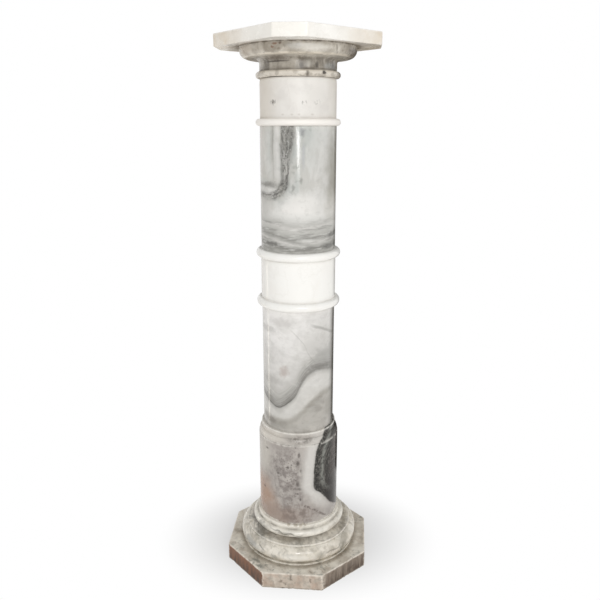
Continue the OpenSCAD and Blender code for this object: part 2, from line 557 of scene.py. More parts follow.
def finish_stone(stone, colour, polish, dirt_and_shade="#6E675C", bright="#F3F0E8", edge=0.5, hollow_darkening=0.6,
                 broken="#CFC7B8", relief=0.2, least_darkening=0.6, sheen=0.5):
    """Wear and a painted highlight on the arrises, soiling and painted shade in the hollows, scars,
    bump and gloss.

    polish is the least roughness. edge says how strongly the arrises brighten, with wear and a
    painted highlight, and hollow_darkening how strongly the hollows darken, with soiling and
    painted shade. relief and sheen are the strength of the bump and of the reflections.
    """
    tree = stone.tree
    arris, crevice, scar = (
        add(tree, "ShaderNodeAttribute", out=2, attribute_name=label)
        for label in ("arris", "crevice", "scar")
    )
    # the arrises brighten with wear and with a painted highlight
    worn_lit_arris = add(tree, MATH, arris, cloudy(stone, 11, 0.36, 0.56), **TIMES)
    # the hollow corners darken in patches, with soiling and painted shade
    patchiness = add(tree, RANGE, cloudy(stone, 22, 0.4, 0.6, 5), 0, 1, least_darkening, 1)
    crevice_dirt_and_shade = add(tree, MATH, crevice, patchiness, **TIMES)
    chipped = add(tree, RANGE, scar, 0.2, 0.7, **SMOOTH)
    colour = lay_over(stone, colour, [
        (worn_lit_arris, edge, bright), (crevice_dirt_and_shade, hollow_darkening, dirt_and_shade), (chipped, 0.85, broken),
    ])
    # marble's crystals are about 0.5 mm across, and are drawn three times as coarse to show
    grain = add(tree, NOISE, stone.point, None, 1 / 1.6, 3, 0.55)
    swell = add(tree, NOISE, stone.point, None, 1 / 38, 2, 0.55)
    surface_relief = add(tree, MATH, grain, 0.02, swell, operation="MULTIPLY_ADD")
    bump = add(tree, "ShaderNodeBump", sockets={
        "Strength": relief, "Distance": 0.0006, "Height": surface_relief,
    })
    rough = add(tree, RANGE, cloudy(stone, 22, 0.35, 0.7), 0, 1, polish, polish + 0.1)
    for wear, duller in ((chipped, 0.4), (crevice_dirt_and_shade, 0.3), (worn_lit_arris, 0.08)):
        rough = add(tree, MATH, wear, duller, rough, operation="MULTIPLY_ADD")
    surface = add(tree, "ShaderNodeBsdfPrincipled", sockets={
        "Base Color": colour, "Roughness": rough, "IOR": 1.5, "Normal": bump,
        "Specular IOR Level": sheen,
    })
    add(tree, "ShaderNodeOutputMaterial", surface)
    return stone.material


def white_marble(name, pale, haze, vein):
    """Statuary marble: nearly white, with the faintest clouds and veins."""
    stone = Stone(name)
    colour = lay_over(stone, pale, [
        (cloudy(stone, 90, 0.4, 0.7, warp=0.6), 1, haze),
        (veined(stone, 110, 0.025), 0.12, vein),
    ])
    return stone, colour


def neck_marble():
    """White marble, turned and dulled, yellowed on one side, with small scuffs and a row of dots."""
    stone, colour = white_marble("white_marble_neck", "#E4E1DC", "#D9D5CF", "#C9C1B8")
    tree = stone.tree
    greyed = cloudy(stone, 26, 0.46, 0.68, 5, 0.6)
    yellowed = add(tree, RANGE, stone.right, -30, -70, **SMOOTH)
    dulled = add(tree, RANGE, stone.right, 45, 70, **SMOOTH)
    scuffs = cloudy(stone, 3.4, 0.5, 0.58, 2, 0.5, (1, 1, 0.5))
    layers = [
        (greyed, 0.35, "#CFCBC6"), (yellowed, 0.7, "#DDD5C8"), (dulled, 0.6, "#DAD5CB"),
        # the torus at the foot is painted whiter than the rest: painted light
        (add(tree, RANGE, stone.height, 907, 904, 0, 1), 1, "#F5F1EB"),
        (-44, 933, 4, 4.5, 0.6, 2, 0.75, "#6B645D"),
        (-38, 962, 16, 14, 0.35, "#D6D2CB"),
        (34, 946, 24, 20, 0.3, "#D9D6D0"),
    ]
    for across in (-27, -11, 1, 25):
        layers.append((across, 912, 4, 2.5, 0.25, 5, 0.3, "#A79F94"))
    for across, strength in ((-44, 1.0), (10, 0.5), (33, 0.45)):
        layers.append((patch(stone, across, 933, 7, 7, 0.3, 4), scuffs, strength, "#5E5751"))
    colour = lay_over(stone, colour, layers)
    return finish_stone(stone, colour, 0.42, dirt_and_shade="#B4ADA1", hollow_darkening=0.35, edge=0.3)


def band_marble():
    """White marble, turned and highly polished: the whitest of the stones."""
    stone, colour = white_marble("white_marble_band", "#F9F8F4", "#F5F3EE", "#DEDBD3")
    return finish_stone(stone, colour, 0.14, dirt_and_shade="#ADA69A", hollow_darkening=0.35, edge=0.2)


def abacus_marble():
    """White marble, sawn and rubbed smooth, yellowed towards its two side corners."""
    stone, colour = white_marble("white_marble_abacus", "#F8F6F1", "#F1EEE7", "#D6D0C6")
    tree = stone.tree
    aside = add(tree, MATH, stone.right, operation="ABSOLUTE")
    yellowed = add(tree, RANGE, aside, 60, 150, **SMOOTH)
    patchy = add(tree, RANGE, cloudy(stone, 40, 0.35, 0.65), 0, 1, 0.5, 1)
    below_top = add(tree, RANGE, stone.height, 1049.5, 1047, 0.35, 1)
    greyed = cloudy(stone, 24, 0.46, 0.7, 5, 0.6)
    # painted shadow: the underside darkens next to the top of the echinus
    under = add(tree, RANGE, stone.height, 1029.4, 1028.4, 0, 1)
    dark_by_joint = add(tree, RANGE, wavy(stone, stone.away, 14, 3), 122, 106, **SMOOTH)
    colour = lay_over(stone, colour, [
        (yellowed, patchy, below_top, 1, "#D8C9B3"), (greyed, 0.25, "#DAD5CC"),
        (under, dark_by_joint, 0.8, "#85755F"),
    ])
    return finish_stone(stone, colour, 0.2, dirt_and_shade="#9C9284", hollow_darkening=0.5, edge=0.1, relief=0.08)


def upper_shaft_marble():
    """Grey-banded marble, turned and polished: a dark braid that hangs down and turns left,
    over wispy level bands."""
    stone = Stone("grey_banded_marble_upper")
    tree = stone.tree
    right = add(tree, MATH, stone.behind, 0.8, stone.right, operation="MULTIPLY_ADD")
    right = wavy(stone, wavy(stone, right, 30, 3), 7, 1.3)
    height = wavy(stone, wavy(stone, stone.height, 30, 3), 7, 1.3)
    # how far outside the braid's inner edge a place lies: beside it, and round its bend below it
    bend = 27
    over = add(tree, MATH, right, 58, operation="ADD")
    under = add(tree, MATH, 802, height, operation="SUBTRACT")
    outer = add(
        tree, JOIN, add(tree, MATH, over, 0, operation="MAXIMUM"),
        add(tree, MATH, under, 0, operation="MAXIMUM"), 0.0,
    )
    inner = add(tree, MATH, add(tree, MATH, over, under, operation="MAXIMUM"), 0, operation="MINIMUM")
    gap = add(tree, MATH, add(tree, VECTOR, outer, operation="LENGTH", out=1), inner, operation="ADD")
    gap = add(tree, MATH, gap, bend, operation="SUBTRACT")
    # the braid is nearly twice as wide at its top
    narrowing = add(tree, RANGE, height, 800, 885, 1, 0.56)
    beyond = add(tree, MATH, add(tree, MATH, gap, 0, operation="MAXIMUM"), narrowing, **TIMES)
    gap = add(tree, MATH, add(tree, MATH, gap, 0, operation="MINIMUM"), beyond, operation="ADD")
    nested = add(tree, RANGE, gap, -45, 60, 0, 1)
    upper = add(tree, RAMP, nested, stops=ramp_stops(
        -45, 60, (-45, "#BCB7AD"), (-31, "#CFCCC5"), (-21, "#C8CAC5"), (-16, "#B4B3AD"),
        (-14, "#9B9993"), (-12, "#C6C5C0"), (-6, "#D6D5D1"), (-2, "#C6C5C1"), (0.5, "#93928E"),
        (3, "#6F6E69"), (8, "#7C7B76"), (12, "#6B6A66"), (15, "#A2A39F"), (19, "#B3B6B2"),
        (30, "#BBBEBA"), (38, "#C9CAC6"), (60, "#CFCECA"),
    ))
    along = add(tree, MATH, height, right, operation="ADD")
    in_braid = close_to(stone, gap, 7, 5, 9)
    beside = close_to(stone, gap, 20, 6, 16)
    upper = lay_over(stone, upper, [
        (cloudy(stone, 20, 0.42, 0.66, 5, 0.6, (1, 1, 0.35)), 0.4, "#E0DEDA"),
        (cloudy(stone, 26, 0.43, 0.66, 5, 0.6, (1, 1, 0.5), 0.6), 0.5, "#B8B6AF"),
        (in_braid, streaky(stone, gap, along, 3.4, 22, 0.47, 0.6), 0.75, "#52514D"),
        (in_braid, streaky(stone, gap, along, 2.6, 9, 0.55, 0.66), 0.6, "#C6C5C1"),
        (in_braid, cloudy(stone, 3.2, 0.52, 0.64, 3), 0.5, "#3F3E3B"),
        (beside, cloudy(stone, 9, 0.5, 0.66, 5), 0.45, "#92948F"),
        (7, 883, 8, 11, 0.5, 5, 0.6, "#77777A"),
        (-50, 790, 26, 8, 0.6, 6, 0.6, "#6F6E69"),
        (9, 842, 5, 36, 0.4, 8, 0.45, "#A9ACB0"),
        (5, 799, 5, 8, 0.6, 5, 0.6, "#85857F"),
        (-9, 785, 5, 9, 0.6, 5, 0.6, "#82827D"),
        # painted shade down the right side
        (68, 800, 24, 140, 0.3, 20, 0.95, "#97948A"),
    ])
    # wispy level bands at the foot of the stone
    sag = course(stone, stone.right, [(-71, -5), (-40, -1), (-8, 5), (24, 3), (71, -3)])
    level = add(tree, MATH, stone.height, sag, operation="ADD")
    level = wavy(stone, level, 60, 5, 3, (1, 1, 2))
    level = wavy(stone, level, 16, 3.5, 5, (0.5, 0.5, 2))
    banded = add(tree, RANGE, level, 664, 770, 0, 1)
    lower = add(tree, RAMP, banded, stops=ramp_stops(
        664, 770, (664, "#B4B3AE"), (671, "#A3A29D"), (676, "#8E8D88"), (681, "#85847F"),
        (685, "#B5B4AF"), (690, "#CCCAC6"), (694, "#A9A8A3"), (698, "#93928D"), (702, "#B4B3AE"),
        (709, "#C0BFBA"), (716, "#CCCAC6"), (722, "#BDBCB7"), (730, "#D2D1CD"), (738, "#DEDDD9"),
        (748, "#E8E6E2"), (760, "#E9E7E3"), (770, "#DFDEDA"),
    ))
    low_down = add(tree, RANGE, level, 736, 716, **SMOOTH)
    wisps = cloudy(stone, 8, 0.46, 0.64, 6, 0.6, (0.17, 0.17, 1))
    gleams = cloudy(stone, 6, 0.52, 0.68, 6, 0.6, (0.2, 0.2, 1.3))
    lower = lay_over(stone, lower, [
        (wisps, low_down, 0.6, "#83827D"),
        (gleams, low_down, 0.5, "#E2E1DD"),
        (-48, 683, 16, 6, 0.5, 6, 0.7, "#6B6A66"),
        (62, 697, 14, 9, 0.5, 8, 0.7, "#65645F"),
        (56, 677, 20, 6, 0.5, 8, 0.7, "#62615D"),
        (16, 690, 26, 4.5, 0.4, 8, 0.6, "#DAD9D5"),
    ])
    share = wavy(stone, wavy(stone, stone.height, 60, 24), 22, 10, 5)
    share = add(tree, RANGE, share, 738, 778, **SMOOTH)
    outside = add(tree, RANGE, gap, 15, 6, **SMOOTH)
    share = add(tree, MATH, share, outside, operation="MAXIMUM")
    colour = lay_over(stone, lower, [
        (share, 1, upper),
        (4, 760, 46, 26, 0.4, 16, 0.7, "#E9E7E3"),
        (-64, 752, 26, 34, 0.5, 14, 0.6, "#BDBBB5"),
        (62, 752, 22, 44, 0.5, 14, 0.55, "#BFBCB4"),
        (cloudy(stone, 10, 0.5, 0.68, 5, 0.6, (0.8, 0.8, 1)), 0.2, "#A9A8A3"),
    ])
    return finish_stone(stone, colour, 0.12, edge=0.15)


def lower_shaft_marble():
    """Grey-banded marble, turned and polished: one dark vein that climbs across it, paler below."""
    stone = Stone("grey_banded_marble_lower")
    tree = stone.tree
    rise = course(stone, stone.right, [
        (-71, 378), (-62, 367), (-52, 360), (-40, 355), (-30, 360), (-18, 371), (-7, 383), (1, 399),
        (10, 416), (19, 427), (30, 434), (46, 435), (58, 431), (71, 420),
    ])
    floor = course(stone, stone.right, [
        (-71, 334), (-50, 331), (-30, 331), (-14, 337), (4, 350), (18, 363), (34, 378), (48, 387),
        (60, 389), (71, 385),
    ])
    height = add(tree, MATH, stone.behind, 0.7, stone.height, operation="MULTIPLY_ADD")
    height = wavy(stone, height, 40, 2.5)
    over = wavy(stone, add(tree, MATH, height, rise, operation="SUBTRACT"), 8, 1.4, 4)
    layered = add(tree, RANGE, over, -60, 150, 0, 1)
    colour = add(tree, RAMP, layered, stops=ramp_stops(
        -60, 150, (-60, "#CBC8C2"), (-30, "#D3D1CC"), (-12, "#D4D2CD"), (-4, "#BDBBB6"),
        (1.5, "#8A8883"), (6, "#8B8984"), (10, "#999792"), (16, "#A6A49F"), (28, "#BAB8B3"),
        (48, "#CFCDC9"), (80, "#DCDAD6"), (110, "#E4E2DF"), (150, "#F0EEEB"),
    ))
    leftward = add(tree, RANGE, stone.right, 20, -20, **SMOOTH)
    rim = close_to(stone, over, 1.2, 0.4, 2.6)
    brushed = streaky(stone, over, stone.right, 3.6, 30, 0.44, 0.62)
    near_vein = add(tree, RANGE, over, 44, 4, **SMOOTH)
    above = add(tree, RANGE, over, -2, 2, **SMOOTH)
    below = wavy(stone, add(tree, MATH, height, floor, operation="SUBTRACT"), 18, 4, 4)
    shelf = add(tree, RANGE, below, 10, -8, **SMOOTH)
    shelf_edge = close_to(stone, below, -5, 1, 11)
    # painted shade along the stone's right edge
    right_edge_shade = add(tree, RANGE, wavy(stone, stone.right, 30, 1.5), 58, 69, **SMOOTH)
    right_vein = drawn_vein(
        stone, [(10, 547), (26, 527), (45, 519), (58, 510), (71, 499)], 4.6, 26, 90,
    )
    middle_vein = drawn_vein(
        stone, [(-18, 522), (-6, 510), (11, 490), (20, 469), (36, 449)], 2.2, -14, 34,
    )
    colour = lay_over(stone, colour, [
        (cloudy(stone, 46, 0.42, 0.7, 5, 0.6, warp=0.8), 0.4, "#C2C0BB"),
        (cloudy(stone, 22, 0.48, 0.7, 5, 0.6, (0.6, 0.6, 1)), 0.35, "#EAE8E5"),
        (brushed, near_vein, above, 0.65, "#7E7C77"),
        (rim, leftward, 0.75, "#5E5C58"),
        (shelf, 0.85, "#B4B0A9"),
        (shelf_edge, 0.5, "#979389"),
        (shelf, cloudy(stone, 22, 0.42, 0.64, 5, 0.6, (0.6, 0.6, 1), 0.5), 0.55, "#8C8880"),
        (-34, 318, 44, 14, 0.4, 12, 0.5, "#98948C"),
        (-53, 324, 12, 9, 0.5, 8, 0.65, "#77726B"),
        (34, 318, 30, 12, 0.4, 12, 0.5, "#C4C0B9"),
        (62, 350, 16, 36, 0.4, 14, 0.45, "#8F8A81"),
        (cloudy(stone, 13, 0.44, 0.68, 5, 0.6, (0.7, 0.7, 1)), 0.25, "#B0AEA9"),
        (right_vein, 0.42, "#85837E"),
        (middle_vein, 0.25, "#908E89"),
        (-28, 433, 14, 16, 0.6, 9, 0.5, "#A8968E"),
        (-52, 412, 26, 14, 0.6, 12, 0.45, "#A5A29D"),
        (-60, 515, 24, 10, 0.6, 12, 0.5, "#ADABA6"),
        (-30, 533, 30, 14, 0.6, 14, 0.4, "#BDB9B5"),
        (54, 462, 34, 26, 0.5, 14, 0.6, "#A7A6A2"),
        (44, 441, 40, 9, 0.4, 10, 0.6, "#7F7D78"),
        (right_edge_shade, stone.front, 0.85, "#67645E"),
    ])
    return finish_stone(stone, colour, 0.12, edge=0.15)


def lower_drum_marble():
    """Dark-veined marble, turned and polished: mottled purple-grey, stained brown on one side,
    with a black braid on the other."""
    stone = Stone("dark_veined_marble")
    tree = stone.tree
    flat_side = patch(stone, -20, 210, 50, 100, 0.3, 30)
    foot_side = patch(stone, -4, 128, 66, 34, 0.3, 24)
    mottled = cloudy(stone, 12, 0.42, 0.62, 6, 0.65)
    thin = drawn_vein(stone, [(0, 153), (12, 148), (28, 139), (45, 124), (64, 108)], 4.5, 8, 58)
    colour = lay_over(stone, "#B8B2AC", [
        (cloudy(stone, 24, 0.38, 0.66, 6, 0.65), 0.8, "#9C9590"),
        (flat_side, mottled, 0.7, "#7F7874"),
        (flat_side, cloudy(stone, 4, 0.54, 0.66, 4), 0.65, "#5F5955"),
        (-41, 224, 14, 17, 0.4, 9, 0.5, "#79726E"),
        (-70, 245, 22, 60, 0.3, 26, 0.75, "#C9C4BA"),
        (-88, 150, 54, 76, 0.3, 30, 0.8, "#AC866A"),
        (-40, 120, 54, 30, 0.4, 24, 0.5, "#977B69"),
        (foot_side, 0.4, "#93847B"),
        (foot_side, mottled, 0.6, "#73665E"),
        (thin, cloudy(stone, 5, 0.42, 0.58, 4), 0.75, "#665C56"),
    ])
    pits = (
        (-1, 198, 6, 9), (2, 187, 7, 5), (-2, 176, 4, 3), (4, 163, 3, 5), (-22, 233, 4, 3),
        (-41, 217, 3, 3), (-63, 264, 4, 3), (-6, 279, 3, 3), (-1, 244, 5, 8), (1, 262, 4, 9),
        (5, 228, 4, 6), (-70, 172, 4, 3),
    )
    colour = lay_over(stone, colour, [(*pit, 0.5, 3, 0.75, "#4E4843") for pit in pits])
    # the braided vein, told by how far right of its left edge a place lies
    leaning = add(tree, MATH, stone.behind, 0.9, stone.height, operation="MULTIPLY_ADD")
    line = course(stone, leaning, [
        (106, 84), (120, 77), (135, 67), (152, 57), (171, 45), (181, 35), (192, 31), (220, 31),
        (249, 34), (267, 37), (284, 42), (293, 48), (306, 53),
    ])
    right = add(tree, MATH, stone.behind, 0.25, stone.right, operation="MULTIPLY_ADD")
    over = add(tree, MATH, right, line, operation="SUBTRACT")
    over = wavy(stone, wavy(stone, over, 24, 2.6, 4, (1, 1, 0.5)), 5, 1)
    narrow = add(tree, RANGE, leaning, 170, 215, 0.66, 1)
    braid = add(tree, RANGE, add(tree, MATH, over, narrow, **TIMES), -30, 60, 0, 1)
    braided = add(tree, RAMP, braid, stops=ramp_stops(
        -30, 60, (-30, "#C6C2BC"), (-16, "#D4D1CC"), (-5, "#D2CFCA"), (-1, "#C0BDB8"),
        (0.5, "#4A4945"), (4, "#2F2E2A"), (8, "#3C3A36"), (11, "#54534E"), (14, "#7E7F79"),
        (17, "#888983"), (20, "#55534E"), (24, "#2F2D29"), (29, "#33302C"), (33, "#443D39"),
        (38, "#423935"), (44, "#2C221C"), (60, "#463D38"),
    ))
    inside = add(tree, RANGE, over, -1, 2, **SMOOTH)
    by_edge = add(tree, RANGE, over, 13, 8, **SMOOTH)
    braided = lay_over(stone, braided, [
        (inside, stone.front, streaky(stone, over, leaning, 3, 12, 0.5, 0.62), 0.4, "#86837C"),
        (inside, stone.front, streaky(stone, over, leaning, 4, 9, 0.48, 0.6), 0.65, "#1D1B18"),
        (inside, by_edge, cloudy(stone, 3.4, 0.52, 0.64, 3), 0.45, "#8D8A83"),
        (inside, by_edge, cloudy(stone, 4.6, 0.52, 0.62, 3), 0.7, "#171614"),
        # darkest towards the right edge: dark stone and painted shade
        (inside, patch(stone, 74, 142, 44, 96, 0.3, 16), 0.95, "#180F0B"),
    ])
    shown = add(tree, RANGE, wavy(stone, over, 16, 4, 4), -36, -12, **SMOOTH)
    # the pale border of the braid dies away towards the foot
    rising = add(tree, RANGE, wavy(stone, stone.height, 20, 5), 118, 168, 0.1, 1, **SMOOTH)
    bordered = add(tree, MATH, rising, inside, operation="MAXIMUM")
    # and the whole braid dies away on the far side of the drum
    near_enough = wavy(stone, wavy(stone, stone.near, 40, 22), 12, 6, 4)
    near_enough = add(tree, RANGE, near_enough, -52, -12, **SMOOTH)
    # the shoulder is paler, with one grey patch
    shoulder = add(tree, RANGE, stone.height, 278, 284, **SMOOTH)
    clear = add(tree, RANGE, over, 1, -3, **SMOOTH)
    ring_top = add(tree, RANGE, stone.height, 303, 304.5, 0, 1)
    colour = lay_over(stone, colour, [
        (shown, bordered, near_enough, 1, braided),
        (shoulder, clear, 0.55, "#C6C1B9"),
        (-62, 294, 48, 20, 0.3, 14, 0.75, "#DED8CE"),
        (patch(stone, 5, 293, 36, 11, 0.4, 7), cloudy(stone, 7, 0.38, 0.56, 5), 0.85, "#6A655E"),
        (ring_top, clear, 0.8, "#DEDAD2"),
    ])
    return finish_stone(stone, colour, 0.2, edge=1.0, bright="#ECE9E2", hollow_darkening=0.15, sheen=0.35)


def cream_marble(name, pale, deep, spots, amount):
    """Cream marble: clouded, and blotched and veined with grey-green."""
    stone = Stone(name)
    gathered = cloudy(stone, 50, 0.38, 0.6)
    colour = lay_over(stone, pale, [
        (cloudy(stone, 34, 0.38, 0.68, 5, 0.6, warp=0.8), 1, deep),
        (cloudy(stone, 24, 0.5, 0.68, 5, 0.6, (1, 1, 0.6), 0.5), gathered, amount, spots),
        (cloudy(stone, 11, 0.53, 0.68, 5, 0.62, (1, 1, 0.6), 0.6), gathered, amount * 0.8, spots),
        (veined(stone, 70, 0.016, 1.0), cloudy(stone, 30, 0.5, 0.62), amount * 0.5, "#6F6C62"),
    ])
    return stone, colour


def base_marble():
    """Cream marble, turned, its polish dulled: grey at its left, with brown soiling and painted shade
    deep in its hollows, a painted highlight on the lower torus, and rubbed edges with a painted
    highlight."""
    stone, colour = cream_marble("cream_marble_base", "#F1EBDF", "#DAD2C2", "#85847B", 0.65)
    tree = stone.tree
    upper_torus = add(tree, RANGE, stone.height, 81, 84, **SMOOTH)
    # the hollow, and the soiling and painted shade that lie in it under the upper torus
    hollow = add(tree, RANGE, stone.height, 83.4, 82.4, **SMOOTH)
    hollow = add(tree, MATH, hollow, add(tree, RANGE, stone.height, 75, 76, 0, 1), **TIMES)
    inward = add(tree, RANGE, wavy(stone, stone.away, 12, 2.5, 4), 105, 96, **SMOOTH)
    torus_crack = drawn_vein(
        stone, [(-60, 98), (-50, 93), (-40, 94), (-30, 89), (-18, 92), (-3, 88), (12, 90)], 1.8, -54, 8,
    )
    left_crack = drawn_vein(
        stone, [(-116, 58), (-106, 74), (-98, 68), (-90, 82), (-80, 64), (-66, 56)], 2.6, -112, -72,
    )
    right_crack = drawn_vein(stone, [(50, 50), (66, 60), (80, 58), (94, 72), (108, 66)], 2.2, 58, 104)
    patchy = add(tree, RANGE, cloudy(stone, 40, 0.4, 0.6), 0, 1, 0.2, 1)
    foot = add(tree, RANGE, wavy(stone, stone.height, 12, 3, 4), 46, 39, **SMOOTH)
    mottled = cloudy(stone, 13, 0.44, 0.62, 5, 0.6, (1, 1, 0.7), 0.3)
    upper_slope = add(tree, RANGE, stone.height, 60, 68, **SMOOTH)
    below_fillet = add(tree, RANGE, stone.height, 74, 72, 0, 1)
    colour = lay_over(stone, colour, [
        (upper_torus, 0.6, "#F3EFE5"),
        (cloudy(stone, 30, 0.46, 0.68, 5, 0.6), 0.3, "#B3AFA6"),
        (-78, 80, 18, 24, 0.6, 8, 0.75, "#706E66"),
        (-100, 60, 22, 18, 0.6, 8, 0.6, "#8E8D87"),
        (-92, 52, 30, 16, 0.6, 12, 0.35, "#9FA3A4"),
        (-48, 50, 14, 8, 0.6, 6, 0.55, "#85847D"),
        (-20, 60, 16, 5, 0.6, 6, 0.45, "#98958C"),
        (12, 46, 22, 6, 0.6, 8, 0.4, "#A8A294"),
        (44, 56, 20, 9, 0.6, 8, 0.5, "#A09A8D"),
        (66, 62, 16, 12, 0.6, 8, 0.45, "#968E80"),
        (94, 66, 14, 24, 0.6, 8, 0.7, "#827B6D"),
        (-30, 90, 26, 5, 0.6, 6, 0.6, "#777267"),
        (6, 80, 34, 6, 0.6, 6, 0.4, "#85827A"),
        (76, 89, 18, 9, 0.6, 8, 0.45, "#8F8473"),
        # the hollow under the upper torus: soiling and painted shade
        (hollow, 0.1, "#B0A798"),
        (hollow, mottled, 0.4, "#7C776C"),
        (hollow, inward, 0.1, "#7A6D5A"),
        (hollow, inward, patchy, 0.45, "#4A3C2B"),
        (torus_crack, 0.6, "#4F493D"),
        (left_crack, 0.6, "#58554B"),
        (right_crack, 0.5, "#6A6355"),
        # a painted highlight on the front of the lower torus
        (-6, 54, 46, 10, 0.4, 16, 0.6, "#F4F0E7"),
        (upper_slope, below_fillet, 0.35, "#EFE8DA"),
        (upper_slope, below_fillet, mottled, 0.45, "#98907F"),
        # soiling and painted shade at the foot of the lower torus
        (foot, patchy, 0.4, "#85775F"),
    ])
    return finish_stone(
        stone, colour, 0.12, dirt_and_shade="#4A3F30", hollow_darkening=0.5, edge=0.7, bright="#F6F2E8", least_darkening=0.4,
    )


def capital_marble():
    """Grey-beige marble, turned, its polish dulled: softly clouded, with soiling and painted shade round
    its neck, painted shade under the abacus and at the echinus's right end, and a painted highlight
    on the echinus's front.
    """
    stone, colour = cream_marble("cream_marble_capital", "#D3CDC2", "#BAB2A5", "#8A8378", 0.5)
    tree = stone.tree
    # the neck, a recess under the echinus, darkens with soiling and painted shade in upright streaks
    round_neck = add(tree, RANGE, stone.height, 1010, 1003, **SMOOTH)
    on_astragal = add(tree, RANGE, stone.height, 988, 984, **SMOOTH)
    lip = add(tree, MATH, add(tree, MATH, stone.height, 1010, operation="SUBTRACT"), operation="ABSOLUTE")
    lip = add(tree, RANGE, wavy(stone, lip, 14, 0.8), 2.2, 0.8, **SMOOTH)
    on_echinus = add(tree, RANGE, stone.height, 1008, 1011, **SMOOTH)
    neck_streaks = cloudy(stone, 15, 0.4, 0.62, 5, 0.6, (1, 1, 0.35))
    colour = lay_over(stone, colour, [
        (round_neck, 0.45, "#877F72"),
        (round_neck, neck_streaks, 0.75, "#625A4E"),
        (on_astragal, 0.85, "#DFD8CC"),
        (on_astragal, cloudy(stone, 12, 0.5, 0.64), 0.5, "#8F8678"),
        (52, 993, 12, 9, 0.4, 7, 0.5, "#A3A5A3"),
        (63, 994, 7, 10, 0.4, 7, 0.6, "#646561"),
        (18, 996, 12, 9, 0.4, 7, 0.45, "#BDB9B0"),
        # soiling and painted shade under the cavetto at the left, darkest in the corner
        (-34, 1004, 26, 7, 0.4, 8, 0.65, "#5B5043"),
        (-38, 1000, 30, 1.9, 0.15, 6, 0.85, "#3F382F"),
        (5, 992, 5, 7, 0.5, 5, 0.7, "#4F483E"),
        (32, 993, 5, 8, 0.5, 5, 0.75, "#443E35"),
        (lip, 0.8, "#E6DDCD"),
        (on_echinus, cloudy(stone, 22, 0.44, 0.64, 5, 0.6), 0.5, "#8F8677"),
        (on_echinus, cloudy(stone, 9, 0.52, 0.66, 5, 0.6), 0.4, "#7D7365"),
        (-62, 1020, 24, 10, 0.5, 9, 0.4, "#9A8F80"),
        (-92, 1018, 18, 16, 0.5, 8, 0.45, "#B5A48F"),
        # a painted highlight on the front of the echinus
        (24, 1019, 46, 9, 0.3, 10, 0.8, "#E2DED6"),
        (-8, 1020, 18, 8, 0.4, 10, 0.4, "#C3C2BE"),
        # painted shade, with brown staining, towards the echinus's right end
        (84, 1018, 18, 10, 0.5, 8, 0.5, "#938A7D"),
        (100, 1014, 20, 18, 0.5, 6, 0.75, "#554B40"),
        (-39, 1024, 6, 3, 0.6, 3, 0.8, "#7F5A41"),
        (-30, 1025, 3.4, 3.4, 0.6, 3, 0.85, "#5F4332"),
        (-43, 1019, 4, 2.6, 0.6, 3, 0.75, "#805F49"),
        (-32, 1016, 4, 2.8, 0.6, 3, 0.65, "#7B6F62"),
        (65, 1019, 2.2, 9, 0.3, 5, 0.6, "#6B6152"),
        (16, 978, 4, 8, 0.3, 4, 0.75, "#544C42"),
        (20, 988, 12, 2, 0.3, 6, 0.5, "#6A6257"),
        (74, 981, 8, 10, 0.4, 5, 0.6, "#5F574B"),
        (-66, 982, 10, 6, 0.5, 5, 0.4, "#A0978A"),
        # painted shadow: a dark line along the top of the echinus, under the abacus
        (add(tree, RANGE, wavy(stone, stone.height, 10, 1.2), 1025.6, 1027.6, 0, 1), 0.65, "#74685A"),
    ])
    return finish_stone(
        stone, colour, 0.2, dirt_and_shade="#564C3F", hollow_darkening=0.65, edge=0.6, bright="#ECE7DC", broken="#2A2622",
    )


def plinth_marble():
    """Cream marble, sawn and honed, its sides stained brown by damp and soiling, with a painted shadow
    along its foot and soiling and painted shade round the base's foot.
    """
    stone, colour = cream_marble("stained_marble", "#E3DDD1", "#C6BEB0", "#7B7A71", 0.85)
    tree = stone.tree
    side = add(tree, RANGE, stone.height, 34.6, 32.5, **SMOOTH)
    low_down = add(tree, RANGE, stone.height, 33, 6, 0.4, 1)
    runs = add(tree, RANGE, cloudy(stone, 11, 0.42, 0.58, 5, 0.65, (1, 1, 0.12)), 0, 1, 0.4, 1)
    left = add(tree, RANGE, stone.right, -71.5, -73.5, **SMOOTH)
    right = add(tree, RANGE, stone.right, 46, 62, **SMOOTH)
    stained = add(tree, MATH, low_down, runs, **TIMES)
    stained = add(tree, MATH, stained, side, **TIMES)
    colour = lay_over(stone, colour, [
        (cloudy(stone, 30, 0.48, 0.66), 0.4, "#9C8A77"),
        (side, 0.75, "#CBBEB0"),
        (side, cloudy(stone, 16, 0.48, 0.64, 5, 0.6), 0.45, "#8F8C82"),
        (side, cloudy(stone, 20, 0.5, 0.64, 5, 0.6, (1, 1, 0.6)), 0.5, "#E6DED2"),
        (side, cloudy(stone, 26, 0.45, 0.64), 0.4, "#BE9C86"),
        (side, cloudy(stone, 12, 0.58, 0.68, 4), 0.6, "#6A5F54"),
        (side, left, 0.95, "#8F5B38"),
        (side, right, 0.6, "#74604D"),
        (stained, left, 1.0, "#331C0C"),
        (stained, right, 1.0, "#33261A"),
        (stained, 0.2, "#7A6656"),
    ])
    # darker on the top round the base's foot: soiling and painted shade under the lower torus
    dark_by_joint = add(tree, RANGE, wavy(stone, stone.away, 16, 4, 4), 131, 119, **SMOOTH)
    # painted shadow along the foot, where the plinth stands on the floor
    floor_contact_shadow = add(tree, RANGE, wavy(stone, stone.height, 12, 1.5), 4.5, 1, **SMOOTH)
    colour = lay_over(stone, colour, [(dark_by_joint, 0.6, "#7D7160"), (floor_contact_shadow, 0.8, "#33271C")])
    return finish_stone(
        stone, colour, 0.28, dirt_and_shade="#463C2F", hollow_darkening=1.0, edge=0.85, bright="#F4ECDF", sheen=0.3,
    )


# ---------------------------------------------------------------- the column

ROUND = circle_outline()
PLINTH_OUTLINE = octagon_outline(stone_box("plinth")[2])
ABACUS_OUTLINE = clipped_square_outline(stone_box("abacus")[2])
WHITE, BANDED = "white_marble", "grey_banded_marble"

